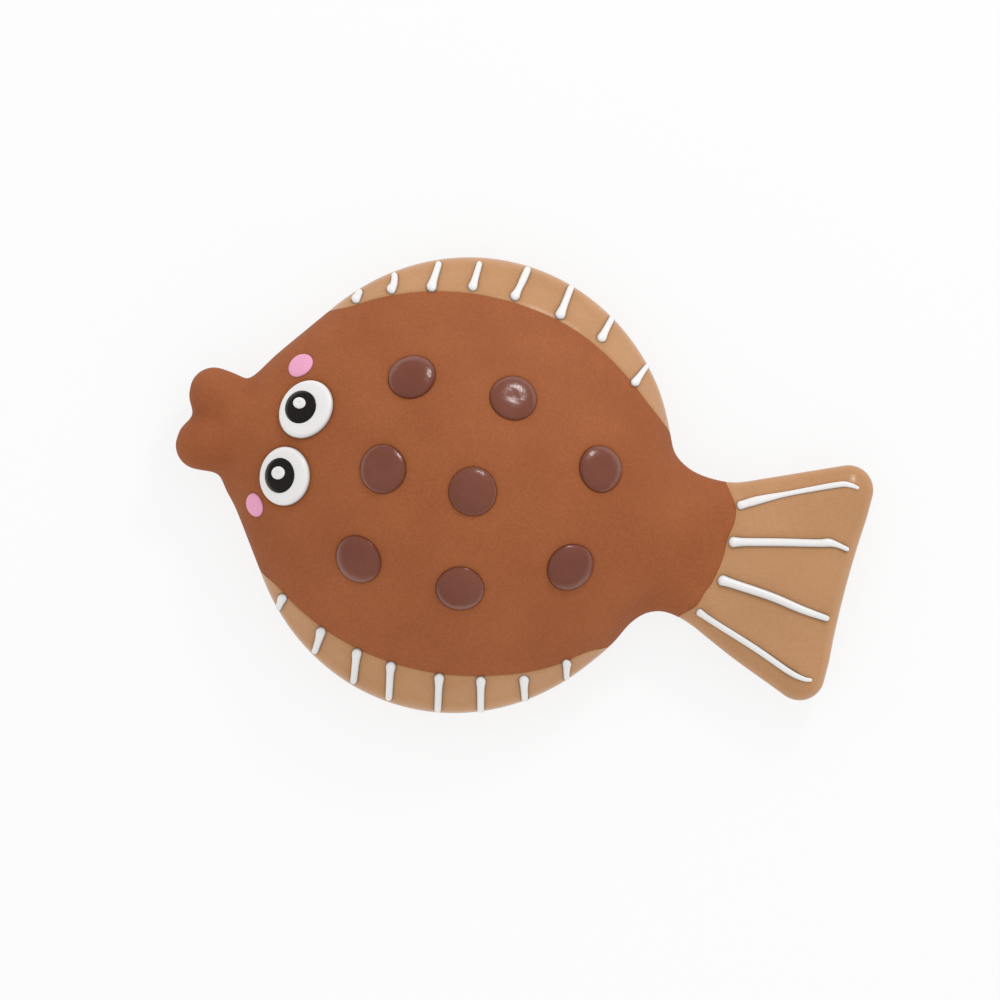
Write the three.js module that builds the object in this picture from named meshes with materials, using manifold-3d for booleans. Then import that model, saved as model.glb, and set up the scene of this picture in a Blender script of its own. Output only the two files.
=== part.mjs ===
// Flatfish squeaky toy: a hollow latex dog toy in the form of a flatfish lying on its blind side.
// Coloured latex spots, eyes and raised paint rays lie on the skin, and a reed squeaker is plugged
// into the underside. Millimetres, +Z up, +X towards the tail, +Y towards the dorsal fin. The origin
// is on the floor, under the middle of the overall length.

import * as THREE from 'three';
import { mergeVertices } from 'three/addons/utils/BufferGeometryUtils.js';
import Module from 'manifold-3d';

const wasm = await Module();
wasm.setup();

// Plan outline: a body oval, a straight-sided head, a waisted stalk and a flared tail
const BODY_HALF_LENGTH = 54;
const BODY_HALF_WIDTH = 58;
const HEAD_REACH = 5.2; // from the front of the body oval to the neck behind the lips
const NECK_HALF_WIDTH = 13;
const SNOUT_REACH = 2.5; // how far the head runs on inside the lips
const STALK_REACH = 5; // from the back of the body oval to the waist of the stalk
const STALK_HALF_WIDTH = 17.9;
const TAIL_LENGTH = 42.4; // from the waist of the stalk to the end of the tail
const TAIL_FLARE_RADIUS = 24;
const TAIL_FLARE_ANGLE = THREE.MathUtils.degToRad(24);
const TAIL_CORNER_RADIUS = 6.3;

// Lips: two round lobes side by side
const LIP_LENGTH = 20.4;
const LIP_WIDTH = 17;
const LIP_HEIGHT = 17;
const LIP_SPREAD = 9.6; // between the middles of the lobes
const LIP_LIFT = 2; // of the lips off the floor
const LIP_OVERHANG = 13.6; // of the lips ahead of the neck

// Heights of the skin
const RIM_HEIGHT = 9; // the mould line round the edge
const BRIM_RISE = 7; // from the mould line to the foot of the dome
const BRIM_ROUND = 10; // width of the rounded upper edge, seen from above
const BELLY_ROUND = 12; // width of the rounded lower edge, seen from above
const DOME_RISE = 25;
const DOME_OVERRUN = 10; // of the dome's lengthwise curve past the body oval at each end
const DOME_FULLNESS = 1.3; // power of the lengthwise curve of the dome
const DOME_MARGIN = 4; // between the dome's foot and the outline on the stalk and the snout
const TAIL_RISE = 5.5; // of the tail's upper face above the mould line
const TAIL_DROP = 5.5; // of the tail's lower face below the mould line
const TAIL_EASE = 13; // half the length over which the body's thickness becomes the tail's
const WALL = 3;

// Colour zones of the skin
const FIN_WIDTH = 10.1; // at the widest place, from the brown back to the rim
const BORDER_OVERRUN = 3; // of the oval round the brown back past the body oval at each end
const BORDER_SHIFT = -1.5; // of that oval from the middle of the body
const FIN_FRONT_INSET = 11.5; // tips of the fins, inside the ends of the body oval
const FIN_REAR_INSET = 7.8;
const TAIL_BORDER_REACH = 9.9; // from the waist of the stalk to the tan of the tail
const TAIL_BORDER_RADIUS = 39;

// The middle of the dome that is pressed in
const CROWN_FRONT_MARGIN = 20.5; // from the front of the body oval, which leaves the eyes still
const CROWN_REAR_MARGIN = 9.5;
const CROWN_SIDE_MARGIN = 8.9; // inside the brown back
const CROWN_POWER = 3; // of the superellipse

// Relief on the skin
const SPOT_RADIUS = 6.5;
const SPOT_HEIGHT = 1.5;
const EYE_RADIUS = 7.4;
const EYE_HEIGHT = 1.2;
const PUPIL_RADIUS = 4.2;
const PUPIL_HEIGHT = 0.6;
const GLINT_RADIUS = 1.3;
const GLINT_HEIGHT = 0.4;
const CHEEK_RADIUS = 3;
const CHEEK_HEIGHT = 0.6;
const RAY_HALF_WIDTH = 1.1;
const RAY_BULB_HALF_WIDTH = 1.5;
const RAY_HEIGHT = 1.1;
const RAY_ROOT_INSET = 0.6; // from the colour border to the inner end of a ray
const RAY_TIP_INSET = 1.3; // from the outer end of a ray to the rim
const TAIL_RAY_TIP_INSET = 3.2;

// Spots: along the fish from the middle of the body, and across it
const SPOTS = [
  [-18.6, 23.1], [7.4, 24.3], [33.3, 12.7], [-19.9, -1.3],
  [3.7, -1], [32.2, -13.3], [-20.2, -24.6], [6.7, -25.2],
];
// Eyes and cheeks: along the fish from the neck, and across it
const EYES = [[16.8, 8.8], [16, -9]];
const CHEEKS = [[12.5, 18.9], [10.6, -18.2]];
const PUPIL_SHIFT = -1.3; // of a pupil towards the lips
const GLINT_SHIFT = 0.7; // of a glint across its pupil

// Fin rays: degrees round the border oval from the tail, and how far the tip leans tailward
const DORSAL_RAYS = [
  [129.3, 0.6], [119.7, -0.1], [108.6, 0], [98.3, 0], [87.4, 1.3], [74.9, 0.7], [62.5, 1.4], [49.1, 2.1],
];
const ANAL_RAYS = [
  [127.5, -0.5], [114.1, -0.2], [103.3, 1.1], [94, 1.7], [81.4, 1.9], [70.7, 2.2], [59.2, 2], [47.2, 1],
];
// Tail rays: root and tip across the fish
const TAIL_RAYS = [[12.6, 24.7], [3.4, 9.4], [-6.6, -9], [-15.6, -25]];

// Squeaker
const FLANGE_RADIUS = 10;
const FLANGE_THICKNESS = 1.2;
const FLANGE_RECESS = 0.4; // of the flange inside the underside
const BARREL_RADIUS = 7;
const BARREL_WALL = 1.4;
const BARREL_TOP = 9;
const PLUG_FLOOR = 1.6;
const AIR_HOLE_RADIUS = 2.5;
const SNAP_RISE = 1; // of the ring that snaps over the socket
const SNAP_LENGTH = 1.2;
const SOCKET_WALL = 4;
const SOCKET_TOP = 5; // height of the socket's inner end
const LID_THICKNESS = 1.4;
const SPIGOT_LENGTH = 2;
const LID_HOLE_RADIUS = 1.6;
const SEAT_RADIUS = 3;
const SEAT_BORE_RADIUS = 1.7;
const SEAT_HEIGHT = 9.5;
const REED_WIDTH = 4.6;
const REED_THICKNESS = 0.4;
const REED_LENGTH = 9;
const WEDGE_HEIGHT = 3;
const WEDGE_DEPTH = 1.8;

const LEAST_FOOT_SHARE = 0.55; // of a half-section, for the column along the dome's foot
const MOST_FOOT_SHARE = 0.9;
const GAP = 0.3; // between neighbouring pieces
const FAR = 200; // past the object on every side

// Places that follow from the sizes
const FRONT_REACH = BODY_HALF_LENGTH + HEAD_REACH + LIP_OVERHANG;
const REAR_REACH = BODY_HALF_LENGTH + STALK_REACH + TAIL_LENGTH;
const BODY_X = (FRONT_REACH - REAR_REACH) / 2;
const NECK_X = BODY_X - BODY_HALF_LENGTH - HEAD_REACH;
const STALK_X = BODY_X + BODY_HALF_LENGTH + STALK_REACH;
const TAIL_END_X = STALK_X + TAIL_LENGTH;
const TAIL_BORDER_X = STALK_X + TAIL_BORDER_REACH;
const DOME_REACH = BODY_HALF_LENGTH + DOME_OVERRUN;
const BORDER_X = BODY_X + BORDER_SHIFT;
const BORDER_HALF_LENGTH = BODY_HALF_LENGTH + BORDER_OVERRUN;
const BORDER_HALF_WIDTH = BODY_HALF_WIDTH - FIN_WIDTH;
const FIN_FRONT_X = BODY_X - BODY_HALF_LENGTH + FIN_FRONT_INSET;
const FIN_REAR_X = BODY_X + BODY_HALF_LENGTH - FIN_REAR_INSET;
const CROWN_X = BODY_X + (CROWN_FRONT_MARGIN - CROWN_REAR_MARGIN) / 2;
const CROWN_HALF_LENGTH = BODY_HALF_LENGTH - (CROWN_FRONT_MARGIN + CROWN_REAR_MARGIN) / 2;
const CROWN_HALF_WIDTH = BORDER_HALF_WIDTH - CROWN_SIDE_MARGIN;

const PAINT = {
  brown: { color: 0xa05f3c, roughness: 0.75 },
  tan: { color: 0xbe936c, roughness: 0.55 },
  plum: { color: 0x704438, roughness: 0.35 },
  white: { color: 0xefecea, roughness: 0.35 },
  black: { color: 0x1c1a1a, roughness: 0.25 },
  pink: { color: 0xf0a6c8, roughness: 0.5 },
  plastic: { color: 0xe8e6e0, roughness: 0.45 },
  brass: { color: 0xb08d4a, roughness: 0.35, metalness: 1 },
};

const clamp01 = (t) => Math.min(1, Math.max(0, t));
const smooth = (t) => clamp01(t) ** 2 * (3 - 2 * clamp01(t));
const quarterRound = (t) => Math.sqrt(1 - (1 - clamp01(t)) ** 2);

// The value between low and high where a rising function crosses zero
function crossing(rising, low, high) {
  for (let step = 0; step < 50; step += 1) {
    const middle = (low + high) / 2;
    if (rising(middle) < 0) low = middle;
    else high = middle;
  }
  return (low + high) / 2;
}

// Angle on the body oval where a straight line from the neck touches it
function headTangentAngle() {
  const neck = new THREE.Vector2((NECK_X - BODY_X) / BODY_HALF_LENGTH, NECK_HALF_WIDTH / BODY_HALF_WIDTH);
  return neck.angle() - Math.acos(1 / neck.length());
}

// Radius of the round that touches the body oval at an angle and is level at the waist of the stalk
function stalkRound(angle) {
  const normal = new THREE.Vector2(Math.cos(angle) / BODY_HALF_LENGTH, Math.sin(angle) / BODY_HALF_WIDTH);
  normal.normalize();
  const x = BODY_X + BODY_HALF_LENGTH * Math.cos(angle);
  const y = BODY_HALF_WIDTH * Math.sin(angle);
  const radius = (STALK_X - x) / normal.x;
  return { radius, normal, excess: y + radius * (normal.y - 1) - STALK_HALF_WIDTH };
}

// Upper half of the plan outline, from the snout to the middle of the tail's end
function halfOutline() {
  const stalkAngle = crossing((angle) => stalkRound(angle).excess, 0.05, 1.3);
  const { radius, normal } = stalkRound(stalkAngle);
  const flare = TAIL_FLARE_ANGLE;
  const flareX = STALK_X + TAIL_FLARE_RADIUS * Math.sin(flare);
  const flareY = STALK_HALF_WIDTH + TAIL_FLARE_RADIUS * (1 - Math.cos(flare));
  const cornerX = TAIL_END_X - TAIL_CORNER_RADIUS;
  const cornerY = flareY + (cornerX - flareX) * Math.tan(flare) - TAIL_CORNER_RADIUS / Math.cos(flare);
  const path = new THREE.Path();
  path.moveTo(NECK_X - SNOUT_REACH, 0);
  path.lineTo(NECK_X - SNOUT_REACH, NECK_HALF_WIDTH - SNOUT_REACH);
  path.lineTo(NECK_X, NECK_HALF_WIDTH);
  path.absellipse(BODY_X, 0, BODY_HALF_LENGTH, BODY_HALF_WIDTH, headTangentAngle(), stalkAngle, true);
  path.absarc(STALK_X, STALK_HALF_WIDTH + radius, radius, normal.angle() + Math.PI, Math.PI * 1.5, false);
  path.absarc(STALK_X, STALK_HALF_WIDTH + TAIL_FLARE_RADIUS, TAIL_FLARE_RADIUS,
    Math.PI * 1.5, Math.PI * 1.5 + flare, false);
  path.absarc(cornerX, cornerY, TAIL_CORNER_RADIUS, Math.PI / 2 + flare, 0, true);
  path.lineTo(TAIL_END_X, 0);
  return path.getPoints(24);
}

const OUTLINE = halfOutline();

// Half-width of the outline at a station along the fish
function halfWidth(x) {
  const tailCorner = OUTLINE.length - 2;
  let next = 2;
  while (next < tailCorner && OUTLINE[next].x < x) next += 1;
  const after = OUTLINE[next];
  const before = OUTLINE[next - 1];
  return THREE.MathUtils.mapLinear(x, before.x, after.x, before.y, after.y);
}

// Distance inside the outline of a point on the plan
function edgeDepth(x, y) {
  const point = new THREE.Vector3(x, Math.abs(y), 0);
  const nearest = new THREE.Vector3();
  const side = new THREE.Line3();
  let depth = Infinity;
  for (let index = 1; index < OUTLINE.length; index += 1) {
    side.start.set(OUTLINE[index - 1].x, OUTLINE[index - 1].y, 0);
    side.end.set(OUTLINE[index].x, OUTLINE[index].y, 0);
    side.closestPointToPoint(point, true, nearest);
    depth = Math.min(depth, nearest.distanceTo(point));
  }
  return depth;
}

// Half-width of the outline drawn in by an inset
function insetHalfWidth(x, inset) {
  return crossing((y) => inset - edgeDepth(x, y), 0, halfWidth(x));
}

// Half-width of the oval border between back and fins
function borderHalfWidth(x) {
  const along = (x - BORDER_X) / BORDER_HALF_LENGTH;
  return BORDER_HALF_WIDTH * Math.sqrt(Math.max(0, 1 - along * along));
}

// Station of the tail's curved colour border at a place across the fish
function tailBorderX(y) {
  return TAIL_BORDER_X - TAIL_BORDER_RADIUS + Math.sqrt(TAIL_BORDER_RADIUS ** 2 - y * y);
}

// How far the skin has turned from body to tail
const tailShare = (x) => smooth((x - STALK_X + TAIL_EASE) / (2 * TAIL_EASE));

// Rise of the dome over the brim
function domeRise(x, y) {
  const along = (x - BODY_X) / DOME_REACH;
  const foot = Math.max(borderHalfWidth(x), halfWidth(x) - DOME_MARGIN);
  const across = y / foot;
  return DOME_RISE * Math.max(0, 1 - along * along) ** DOME_FULLNESS * Math.max(0, 1 - across * across);
}

// Upper and lower faces of the skin, or of the hollow inside it where the wall is taken off
function upperFace(x, y, wall = 0) {
  const rise = THREE.MathUtils.lerp(BRIM_RISE, TAIL_RISE, tailShare(x)) - wall;
  return RIM_HEIGHT + rise * quarterRound((edgeDepth(x, y) - wall) / (BRIM_ROUND - wall)) + domeRise(x, y);
}

function lowerFace(x, y, wall = 0) {
  const drop = THREE.MathUtils.lerp(RIM_HEIGHT, TAIL_DROP, tailShare(x)) - wall;
  return RIM_HEIGHT - drop * quarterRound((edgeDepth(x, y) - wall) / (BELLY_ROUND - wall));
}

// Outward direction of the upper face
function upperNormal(x, y) {
  const step = 0.2;
  const slopeX = (upperFace(x + step, y) - upperFace(x - step, y)) / (2 * step);
  const slopeY = (upperFace(x, y + step) - upperFace(x, y - step)) / (2 * step);
  return new THREE.Vector3(-slopeX, -slopeY, 1).normalize();
}

// A point of the upper face, lifted along a direction
function liftedPoint(x, y, normal, lift) {
  return new THREE.Vector3(x, y, upperFace(x, y)).addScaledVector(normal, lift);
}

function geometryOf(points, triangles) {
  const geometry = new THREE.BufferGeometry();
  const positions = points.flatMap((point) => point.toArray());
  geometry.setAttribute('position', new THREE.Float32BufferAttribute(positions, 3));
  geometry.setIndex(triangles);
  return geometry;
}

// Closed body between two faces over one grid, joined along the grid's edge.
// place(u, v, upper) gives a point for u from 0 to 1 and v from -1 to 1.
function pillow(rows, columns, place) {
  const points = [];
  const index = { true: [], false: [] };
  for (let row = 0; row <= rows; row += 1) {
    for (let column = 0; column <= columns; column += 1) {
      const onEdge = row === 0 || row === rows || column === 0 || column === columns;
      const u = row / rows;
      const v = (2 * column) / columns - 1;
      index.true.push(points.push(place(u, v, true)) - 1);
      index.false.push(onEdge ? points.length - 1 : points.push(place(u, v, false)) - 1);
    }
  }
  const triangles = [];
  for (let row = 0; row < rows; row += 1) {
    for (let column = 0; column < columns; column += 1) {
      const a = row * (columns + 1) + column;
      const b = a + columns + 1;
      for (const [p, q, r] of [[a, b, b + 1], [a, b + 1, a + 1]]) {
        triangles.push(index.true[p], index.true[q], index.true[r]);
        triangles.push(index.false[p], index.false[r], index.false[q]);
      }
    }
  }
  return geometryOf(points, triangles);
}

// Closed round body between two faces over rings and spokes, joined round the outer ring.
// place(share, angle, upper) gives a point for a share of the radius from 0 to 1. The lower face has
// only the last two rings.
function button(shares, spokes, place) {
  const points = [];
  const triangles = [];
  const rim = [];
  for (const upper of [true, false]) {
    const centre = points.push(place(0, 0, upper)) - 1;
    let inner = new Array(spokes).fill(centre);
    for (const share of upper ? shares : shares.slice(-2)) {
      const last = share === 1;
      const ring = last && !upper ? rim : [];
      for (let spoke = 0; ring.length < spokes; spoke += 1) {
        ring.push(points.push(place(share, (spoke / spokes) * 2 * Math.PI, upper)) - 1);
      }
      if (last && upper) rim.push(...ring);
      for (let spoke = 0; spoke < spokes; spoke += 1) {
        const next = (spoke + 1) % spokes;
        const sides = [[inner[spoke], ring[spoke], ring[next]]];
        if (inner[0] !== centre) sides.push([inner[spoke], ring[next], inner[next]]);
        for (const [p, q, r] of sides) triangles.push(...(upper ? [p, q, r] : [p, r, q]));
      }
      inner = ring;
    }
  }
  return geometryOf(points, triangles);
}

function solidOf(geometry) {
  const bare = geometry.clone();
  bare.deleteAttribute('normal');
  bare.deleteAttribute('uv');
  const merged = mergeVertices(bare);
  const vertProperties = new Float32Array(merged.attributes.position.array);
  const triVerts = new Uint32Array(merged.index.array);
  return new wasm.Manifold(new wasm.Mesh({ numProp: 3, vertProperties, triVerts }));
}

function geometryFrom(solid) {
  const mesh = solid.getMesh();
  const geometry = new THREE.BufferGeometry();
  geometry.setAttribute('position', new THREE.BufferAttribute(mesh.vertProperties, 3));
  geometry.setIndex(new THREE.BufferAttribute(mesh.triVerts, 1));
  return geometry;
}

// Block between two corners
function block(low, high) {
  const geometry = new THREE.BoxGeometry(high[0] - low[0], high[1] - low[1], high[2] - low[2]);
  return geometry.translate((high[0] + low[0]) / 2, (high[1] + low[1]) / 2, (high[2] + low[2]) / 2);
}

// Upright prism over a plan shape, through the whole height of the toy
function column(shape) {
  const options = { depth: 2 * FAR, bevelEnabled: false, curveSegments: 16 };
  return solidOf(new THREE.ExtrudeGeometry(shape, options).translate(0, 0, -FAR));
}

// Solid of revolution about the squeaker's upright axis, from points of radius and height.
// A profile that doesn't start on the axis closes on itself.
function turned(points) {
  const profile = points.map(([radius, height]) => new THREE.Vector2(radius, height));
  if (profile[0].x > 0) profile.push(profile[0].clone());
  return new THREE.LatheGeometry(profile, 28).rotateX(Math.PI / 2).translate(BODY_X, 0, 0);
}

// Place across a half-section for a share from 0 in the middle to 1 at the rim. One column of the
// skin runs along the foot of the dome, and the columns beyond it close up towards the rim.
function acrossAt(share, half, foot) {
  const footShare = 0.6;
  if (share <= footShare) return (foot * share) / footShare;
  return foot + (half - foot) * Math.sin(((share - footShare) / (1 - footShare)) * (Math.PI / 2));
}

// Body and tail between their upper and lower faces, with a wall taken off for the hollow
function skinBody(rows, columns, wall) {
  const front = NECK_X - SNOUT_REACH + wall;
  const rear = TAIL_END_X - wall;
  const stations = Array.from({ length: rows + 1 }, (_, row) => {
    const x = front + ((rear - front) * (1 - Math.cos((Math.PI * row) / rows))) / 2;
    const half = wall > 0 ? insetHalfWidth(x, wall) : halfWidth(x);
    const foot = THREE.MathUtils.clamp(borderHalfWidth(x), half * LEAST_FOOT_SHARE, half * MOST_FOOT_SHARE);
    return { x, half, foot };
  });
  return solidOf(pillow(rows, columns, (u, v, upper) => {
    const { x, half, foot } = stations[Math.round(u * rows)];
    const y = Math.sign(v) * acrossAt(Math.abs(v), half, foot);
    if (u === 0 || u === 1 || Math.abs(v) === 1) return new THREE.Vector3(x, y, RIM_HEIGHT);
    return new THREE.Vector3(x, y, upper ? upperFace(x, y, wall) : lowerFace(x, y, wall));
  }));
}

function lipLobe(side) {
  const lobe = new THREE.SphereGeometry(0.5, 18, 12).rotateX(Math.PI / 2);
  lobe.scale(LIP_LENGTH, LIP_WIDTH, LIP_HEIGHT);
  lobe.translate(NECK_X - LIP_OVERHANG + LIP_LENGTH / 2, (side * LIP_SPREAD) / 2, LIP_LIFT + LIP_HEIGHT / 2);
  return solidOf(lobe);
}

// Plan of the brown zone: the border oval between the tips of the fins, and all that lies beyond them
function brownPlan(grow) {
  const front = FIN_FRONT_X + grow;
  const rear = FIN_REAR_X - grow;
  const halfLength = BORDER_HALF_LENGTH + grow;
  const frontAngle = Math.acos((front - BORDER_X) / halfLength);
  const rearAngle = Math.acos((rear - BORDER_X) / halfLength);
  const shape = new THREE.Shape();
  shape.moveTo(-FAR, -FAR);
  shape.lineTo(front, -FAR);
  shape.absellipse(BORDER_X, 0, halfLength, BORDER_HALF_WIDTH + grow, -frontAngle, -rearAngle, false);
  shape.lineTo(rear, -FAR);
  shape.lineTo(FAR, -FAR);
  shape.lineTo(FAR, FAR);
  shape.lineTo(rear, FAR);
  shape.absellipse(BORDER_X, 0, halfLength, BORDER_HALF_WIDTH + grow, rearAngle, frontAngle, false);
  shape.lineTo(front, FAR);
  shape.lineTo(-FAR, FAR);
  return shape;
}

// Plan of the tan tail, behind its curved colour border
function tailPlan(grow) {
  const radius = TAIL_BORDER_RADIUS - grow;
  const centre = TAIL_BORDER_X - TAIL_BORDER_RADIUS;
  const sweep = Math.asin((STALK_HALF_WIDTH * 1.4) / radius);
  const shape = new THREE.Shape();
  shape.absarc(centre, 0, radius, -sweep, sweep, false);
  shape.lineTo(centre + radius * Math.cos(sweep), FAR);
  shape.lineTo(FAR, FAR);
  shape.lineTo(FAR, -FAR);
  shape.lineTo(centre + radius * Math.cos(sweep), -FAR);
  return shape;
}

// Plan of the pressed crown: a superellipse
function crownPlan(grow) {
  const sides = 48;
  const bent = (value) => Math.sign(value) * Math.abs(value) ** (2 / CROWN_POWER);
  const points = Array.from({ length: sides }, (_, side) => {
    const angle = ((side + 0.5) / sides) * 2 * Math.PI;
    const x = CROWN_X + (CROWN_HALF_LENGTH + grow) * bent(Math.cos(angle));
    return new THREE.Vector2(x, (CROWN_HALF_WIDTH + grow) * bent(Math.sin(angle)));
  });
  return new THREE.Shape(points);
}

// Socket that grips the squeaker: a thick ring on the belly, with the hole and its counterbore
function addSocket(belly) {
  const hole = BARREL_RADIUS + GAP;
  const counterbore = FLANGE_RADIUS + GAP;
  const ledge = FLANGE_RECESS + FLANGE_THICKNESS + GAP;
  const outer = hole + SOCKET_WALL;
  const ring = turned([[0, WALL / 2], [outer, WALL / 2], [outer, SOCKET_TOP], [0, SOCKET_TOP]]);
  const drill = turned([[0, -WALL], [counterbore, -WALL], [counterbore, ledge], [hole, ledge],
    [hole, SOCKET_TOP + WALL], [0, SOCKET_TOP + WALL]]);
  return belly.add(solidOf(ring)).subtract(solidOf(drill));
}

// The skin cut along its mould line and its colour borders
function skinZones() {
  const outside = skinBody(42, 20, 0).add(lipLobe(1)).add(lipLobe(-1));
  const skin = outside.subtract(skinBody(24, 10, WALL));
  const body = skin.subtract(column(tailPlan(GAP)));
  const aboveLine = solidOf(block([-FAR, -FAR, RIM_HEIGHT + GAP / 2], [FAR, FAR, FAR]));
  const lips = solidOf(block([-FAR, -FAR, -FAR], [NECK_X, FAR, FAR]));
  const belowLine = solidOf(block([NECK_X + GAP, -FAR, -FAR], [FAR, FAR, RIM_HEIGHT - GAP / 2]));
  const dorsalSide = solidOf(block([-FAR, 0, -FAR], [FAR, FAR, FAR]));
  const upper = body.intersect(aboveLine.add(lips));
  const fins = upper.subtract(column(brownPlan(GAP)));
  const top = upper.intersect(column(brownPlan(0)));
  return {
    belly_skin: [addSocket(body.intersect(belowLine)), PAINT.tan],
    back_skin: [top.subtract(column(crownPlan(GAP))), PAINT.brown],
    crown_skin: [top.intersect(column(crownPlan(0))), PAINT.brown],
    dorsal_fin: [fins.intersect(dorsalSide), PAINT.tan],
    anal_fin: [fins.subtract(dorsalSide), PAINT.tan],
    tail_fin: [skin.intersect(column(tailPlan(0))), PAINT.tan],
  };
}

// Round relief on the back: a flat-topped button with a rounded edge, square to the skin under it.
// Its place is given along the fish from a start, and across it.
function roundRelief(start, [along, across], radius, height, lift, spokes, shift = [0, 0]) {
  const x = start + along;
  const normal = upperNormal(x, across);
  const forward = new THREE.Vector3(1, 0, 0).projectOnPlane(normal).normalize();
  const sideways = new THREE.Vector3().crossVectors(normal, forward);
  return button([0.72, 0.9, 1], spokes, (share, angle, upper) => {
    const offset = forward.clone().multiplyScalar(shift[0] + radius * share * Math.cos(angle));
    offset.addScaledVector(sideways, shift[1] + radius * share * Math.sin(angle));
    const bevel = quarterRound((1 - share) / 0.3);
    return liftedPoint(x + offset.x, across + offset.y, normal, lift + (upper ? height * bevel : 0));
  });
}

// Bead of raised paint between two places on the skin, with a bulb at its root
function rayBead(root, tip) {
  const along = new THREE.Vector2().subVectors(tip, root).normalize();
  return pillow(6, 4, (u, v, upper) => {
    const bulb = RAY_BULB_HALF_WIDTH - RAY_HALF_WIDTH;
    const ends = quarterRound(0.25 + 5 * Math.min(u, 1 - u));
    const half = (RAY_HALF_WIDTH + bulb * (1 - smooth(u * 2.5))) * ends;
    const x = THREE.MathUtils.lerp(root.x, tip.x, u) - along.y * half * v;
    const y = THREE.MathUtils.lerp(root.y, tip.y, u) + along.x * half * v;
    return liftedPoint(x, y, upperNormal(x, y), GAP + (upper ? RAY_HEIGHT * quarterRound(1 - v * v) : 0));
  });
}

// A fin ray runs from the colour border out to the rim
function finRay([degrees, lean], side) {
  const x = BORDER_X + BORDER_HALF_LENGTH * Math.cos(THREE.MathUtils.degToRad(degrees));
  const root = borderHalfWidth(x) + RAY_ROOT_INSET;
  const tip = insetHalfWidth(x + lean, RAY_TIP_INSET);
  return rayBead(new THREE.Vector2(x, side * root), new THREE.Vector2(x + lean, side * tip));
}

function tailRay([rootY, tipY]) {
  const root = new THREE.Vector2(tailBorderX(rootY) + RAY_BULB_HALF_WIDTH, rootY);
  return rayBead(root, new THREE.Vector2(TAIL_END_X - TAIL_RAY_TIP_INSET, tipY));
}

// The plug, gripped between its flange and its snap ring
function squeakerPlug() {
  const flangeTop = FLANGE_RECESS + FLANGE_THICKNESS;
  const snap = SOCKET_TOP + GAP;
  const bore = BARREL_RADIUS - BARREL_WALL;
  const floor = FLANGE_RECESS + PLUG_FLOOR;
  return turned([[AIR_HOLE_RADIUS, FLANGE_RECESS], [FLANGE_RADIUS, FLANGE_RECESS], [FLANGE_RADIUS, flangeTop],
    [BARREL_RADIUS, flangeTop], [BARREL_RADIUS, snap], [BARREL_RADIUS + SNAP_RISE, snap],
    [BARREL_RADIUS, snap + SNAP_LENGTH], [BARREL_RADIUS, BARREL_TOP], [bore, BARREL_TOP],
    [bore, floor], [AIR_HOLE_RADIUS, floor]]);
}

const LID_BASE = BARREL_TOP + GAP;
const LID_TOP = LID_BASE + LID_THICKNESS;

function squeakerLid() {
  const spigot = BARREL_RADIUS - BARREL_WALL - GAP;
  const spigotEnd = LID_BASE - SPIGOT_LENGTH;
  return turned([[LID_HOLE_RADIUS, spigotEnd], [spigot, spigotEnd], [spigot, LID_BASE],
    [BARREL_RADIUS, LID_BASE], [BARREL_RADIUS, LID_TOP], [LID_HOLE_RADIUS, LID_TOP]]);
}

// Half-round channel that stands on the lid, open on the reed's side
function reedSeat() {
  const shape = new THREE.Shape();
  shape.absarc(0, 0, SEAT_RADIUS, Math.PI / 2, Math.PI * 1.5, false);
  shape.lineTo(0, -SEAT_BORE_RADIUS);
  shape.absarc(0, 0, SEAT_BORE_RADIUS, Math.PI * 1.5, Math.PI / 2, true);
  const options = { depth: SEAT_HEIGHT, bevelEnabled: false, curveSegments: 8 };
  return new THREE.ExtrudeGeometry(shape, options).translate(BODY_X, 0, LID_TOP + GAP);
}

const REED_X = BODY_X + GAP;
const REED_BASE = LID_TOP + GAP;

function reed() {
  const high = [REED_X + REED_THICKNESS, REED_WIDTH / 2, REED_BASE + REED_LENGTH];
  return block([REED_X, -REED_WIDTH / 2, REED_BASE], high);
}

// Wedge that holds the root of the reed against its seat
function reedWedge() {
  const front = REED_X + REED_THICKNESS + GAP;
  const shape = new THREE.Shape();
  shape.moveTo(front, REED_BASE);
  shape.lineTo(front + WEDGE_DEPTH, REED_BASE);
  shape.lineTo(front + WEDGE_DEPTH / 2, REED_BASE + WEDGE_HEIGHT);
  shape.lineTo(front, REED_BASE + WEDGE_HEIGHT);
  const upright = new THREE.ExtrudeGeometry(shape, { depth: REED_WIDTH, bevelEnabled: false });
  return upright.rotateX(Math.PI / 2).translate(0, REED_WIDTH / 2, 0);
}

const toy = new THREE.Group();

function addPiece(name, geometry, paint) {
  const mesh = new THREE.Mesh(geometry, new THREE.MeshStandardMaterial({ metalness: 0, ...paint }));
  mesh.name = name;
  toy.add(mesh);
}

for (const [name, [solid, paint]] of Object.entries(skinZones())) {
  addPiece(name, geometryFrom(solid), paint);
}

SPOTS.forEach((place, index) => {
  addPiece(`spot_${index + 1}`, roundRelief(BODY_X, place, SPOT_RADIUS, SPOT_HEIGHT, GAP, 16), PAINT.plum);
});

EYES.forEach((place, index) => {
  const pupilLift = GAP + EYE_HEIGHT + GAP;
  const glintLift = pupilLift + PUPIL_HEIGHT + GAP;
  const glintShift = [PUPIL_SHIFT, GLINT_SHIFT];
  addPiece(`eye_white_${index + 1}`, roundRelief(NECK_X, place, EYE_RADIUS, EYE_HEIGHT, GAP, 20), PAINT.white);
  const pupil = roundRelief(NECK_X, place, PUPIL_RADIUS, PUPIL_HEIGHT, pupilLift, 16, [PUPIL_SHIFT, 0]);
  addPiece(`pupil_${index + 1}`, pupil, PAINT.black);
  const glint = roundRelief(NECK_X, place, GLINT_RADIUS, GLINT_HEIGHT, glintLift, 10, glintShift);
  addPiece(`glint_${index + 1}`, glint, PAINT.white);
});

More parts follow.
